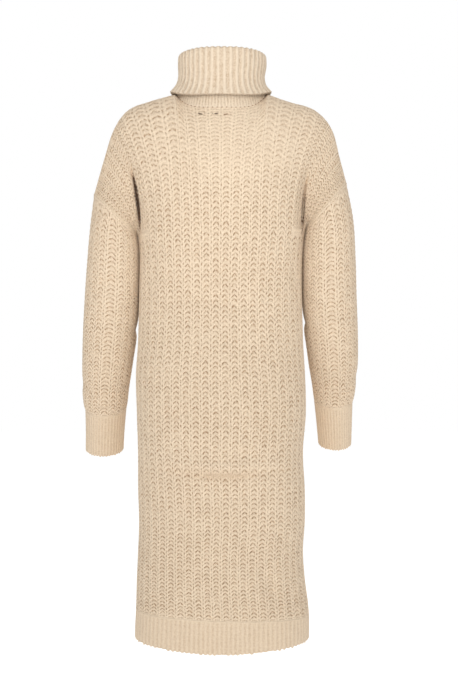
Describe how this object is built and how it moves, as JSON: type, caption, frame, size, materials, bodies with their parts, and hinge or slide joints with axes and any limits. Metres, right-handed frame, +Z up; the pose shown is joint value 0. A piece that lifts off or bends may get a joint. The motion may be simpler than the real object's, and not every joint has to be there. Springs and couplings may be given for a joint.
{
  "type": "sweater dress",
  "caption": "Long roll-neck sweater dress in chunky ribbed knit, with dropped shoulders, long sleeves, rib cuffs and a rib hem, held open as it is worn.",
  "frame": {"origin": "between the shoulders, level with the highest points of the shoulder lines, where the wearer's shoulders hold the dress up", "axes": "+Z up along the dress, +Y out of its front, +X towards the right of its back as it is seen from behind (the wearer's right)"},
  "size_m": [0.542, 0.284, 1.1394],
  "materials": {
    "body_knit": "matte chunky wool-blend rib knit, warm oatmeal beige",
    "rib_knit": "matte fine rib of the same yarn"
  },
  "bodies": {
    "root": {"back_panel": "body_knit", "front_panel": "body_knit", "sleeve_left": "body_knit", "sleeve_right": "body_knit", "hem_rib_back": "rib_knit", "hem_rib_front": "rib_knit", "cuff_left": "rib_knit", "cuff_right": "rib_knit", "roll_neck": "rib_knit"}
  },
  "joints": []
}
